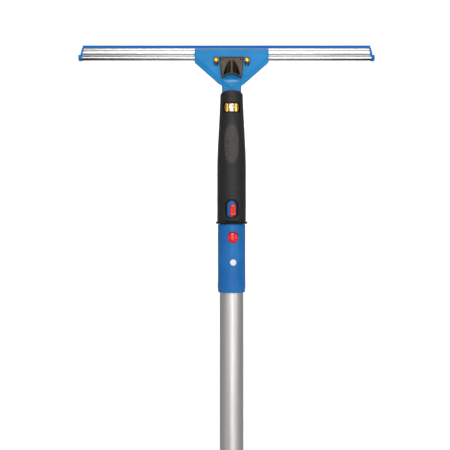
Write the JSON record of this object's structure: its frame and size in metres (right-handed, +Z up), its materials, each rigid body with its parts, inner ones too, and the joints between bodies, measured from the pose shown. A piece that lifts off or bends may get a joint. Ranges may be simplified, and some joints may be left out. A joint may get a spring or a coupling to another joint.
{
  "type": "window cleaning squeegee",
  "caption": "Window squeegee on a telescopic pole: rubber in a quick-release rail, tilting head with a catch, snap-in pole socket with a latch lever, twist lock.",
  "frame": {"origin": "centre of the pole's bottom face, on the tubes' common axis", "axes": "+Z up the pole towards the rubber's edge; -Y out of the working face, where the slider, catch and buttons are; +X along the rail to the right, seen from the working face"},
  "size_m": [0.354, 0.0422, 0.9541],
  "materials": {
    "rubber": "smooth blue rubber",
    "rail_alloy": "bright drawn",
    "head_blue": "moulded, semi-gloss",
    "steel": "bright wire and pin",
    "hard_black": "moulded, satin",
    "soft_black": "soft-touch, stippled",
    "brass": "polished",
    "pole_blue": "moulded, semi-gloss",
    "button_red": "moulded, glossy",
    "rivet_white": "moulded",
    "tube_alloy": "drawn, satin"
  },
  "bodies": {
    "pole_lower": {"outer_tube": "tube_alloy", "collet": "hard_black", "collet_rivet": "steel", "lower_grip": "soft_black", "pole_end_cap": "pole_blue"},
    "lock_nut": {"lock_nut": "pole_blue"},
    "pole_upper": {"inner_tube": "tube_alloy", "inner_bush": "hard_black", "pole_socket": "pole_blue", "socket_rivet": "rivet_white", "lever_pin": "steel", "lever_spring": "steel", "handle_core": "hard_black", "handle_grip": "soft_black", "pivot_pin": "steel", "catch_spring": "steel"},
    "release_lever": {"release_lever": "button_red"},
    "brass_catch": {"brass_catch": "brass"},
    "head": {"head_body": "head_blue", "head_back": "head_blue", "head_screws": "steel", "rail": "rail_alloy", "rubber_blade": "rubber", "end_cap_left": "rubber", "end_cap_right": "rubber", "slider_springs": "steel"},
    "release_slider": {"release_slider": "hard_black", "brass_pins": "brass"}
  },
  "joints": [
    {"name": "lock_nut_twist", "type": "hinge", "parent": "pole_lower", "child": "lock_nut", "pos_m": [0, 0, 0.43], "axis": [0, 0, 1], "range_deg": [0, 90]},
    {"name": "pole_slide", "type": "slide", "parent": "pole_lower", "child": "pole_upper", "axis": [0, 0, 1], "range_m": [-0.2, 0.115]},
    {"name": "head_tilt", "type": "hinge", "parent": "pole_upper", "child": "head", "pos_m": [0, 0, 0.878], "axis": [-1, 0, 0], "range_deg": [0, 30]},
    {"name": "catch_press", "type": "slide", "parent": "pole_upper", "child": "brass_catch", "axis": [0, 1, 0], "range_m": [0, 0.0013], "stiffness_N_per_m": 1500, "springref_m": -0.001, "deforming": ["catch_spring"]},
    {"name": "latch_press", "type": "hinge", "parent": "pole_upper", "child": "release_lever", "pos_m": [0.00096, -0.00915, 0.706], "axis": [-0.9945, -0.1045, 0], "range_deg": [0, 4.5], "stiffness_Nm_per_rad": 1, "springref_deg": -4.58, "deforming": ["lever_spring"]},
    {"name": "slider_pull", "type": "slide", "parent": "head", "child": "release_slider", "axis": [0, 0, -1], "range_m": [0, 0.003], "stiffness_N_per_m": 900, "springref_m": -0.002, "deforming": ["slider_springs"]}
  ]
}
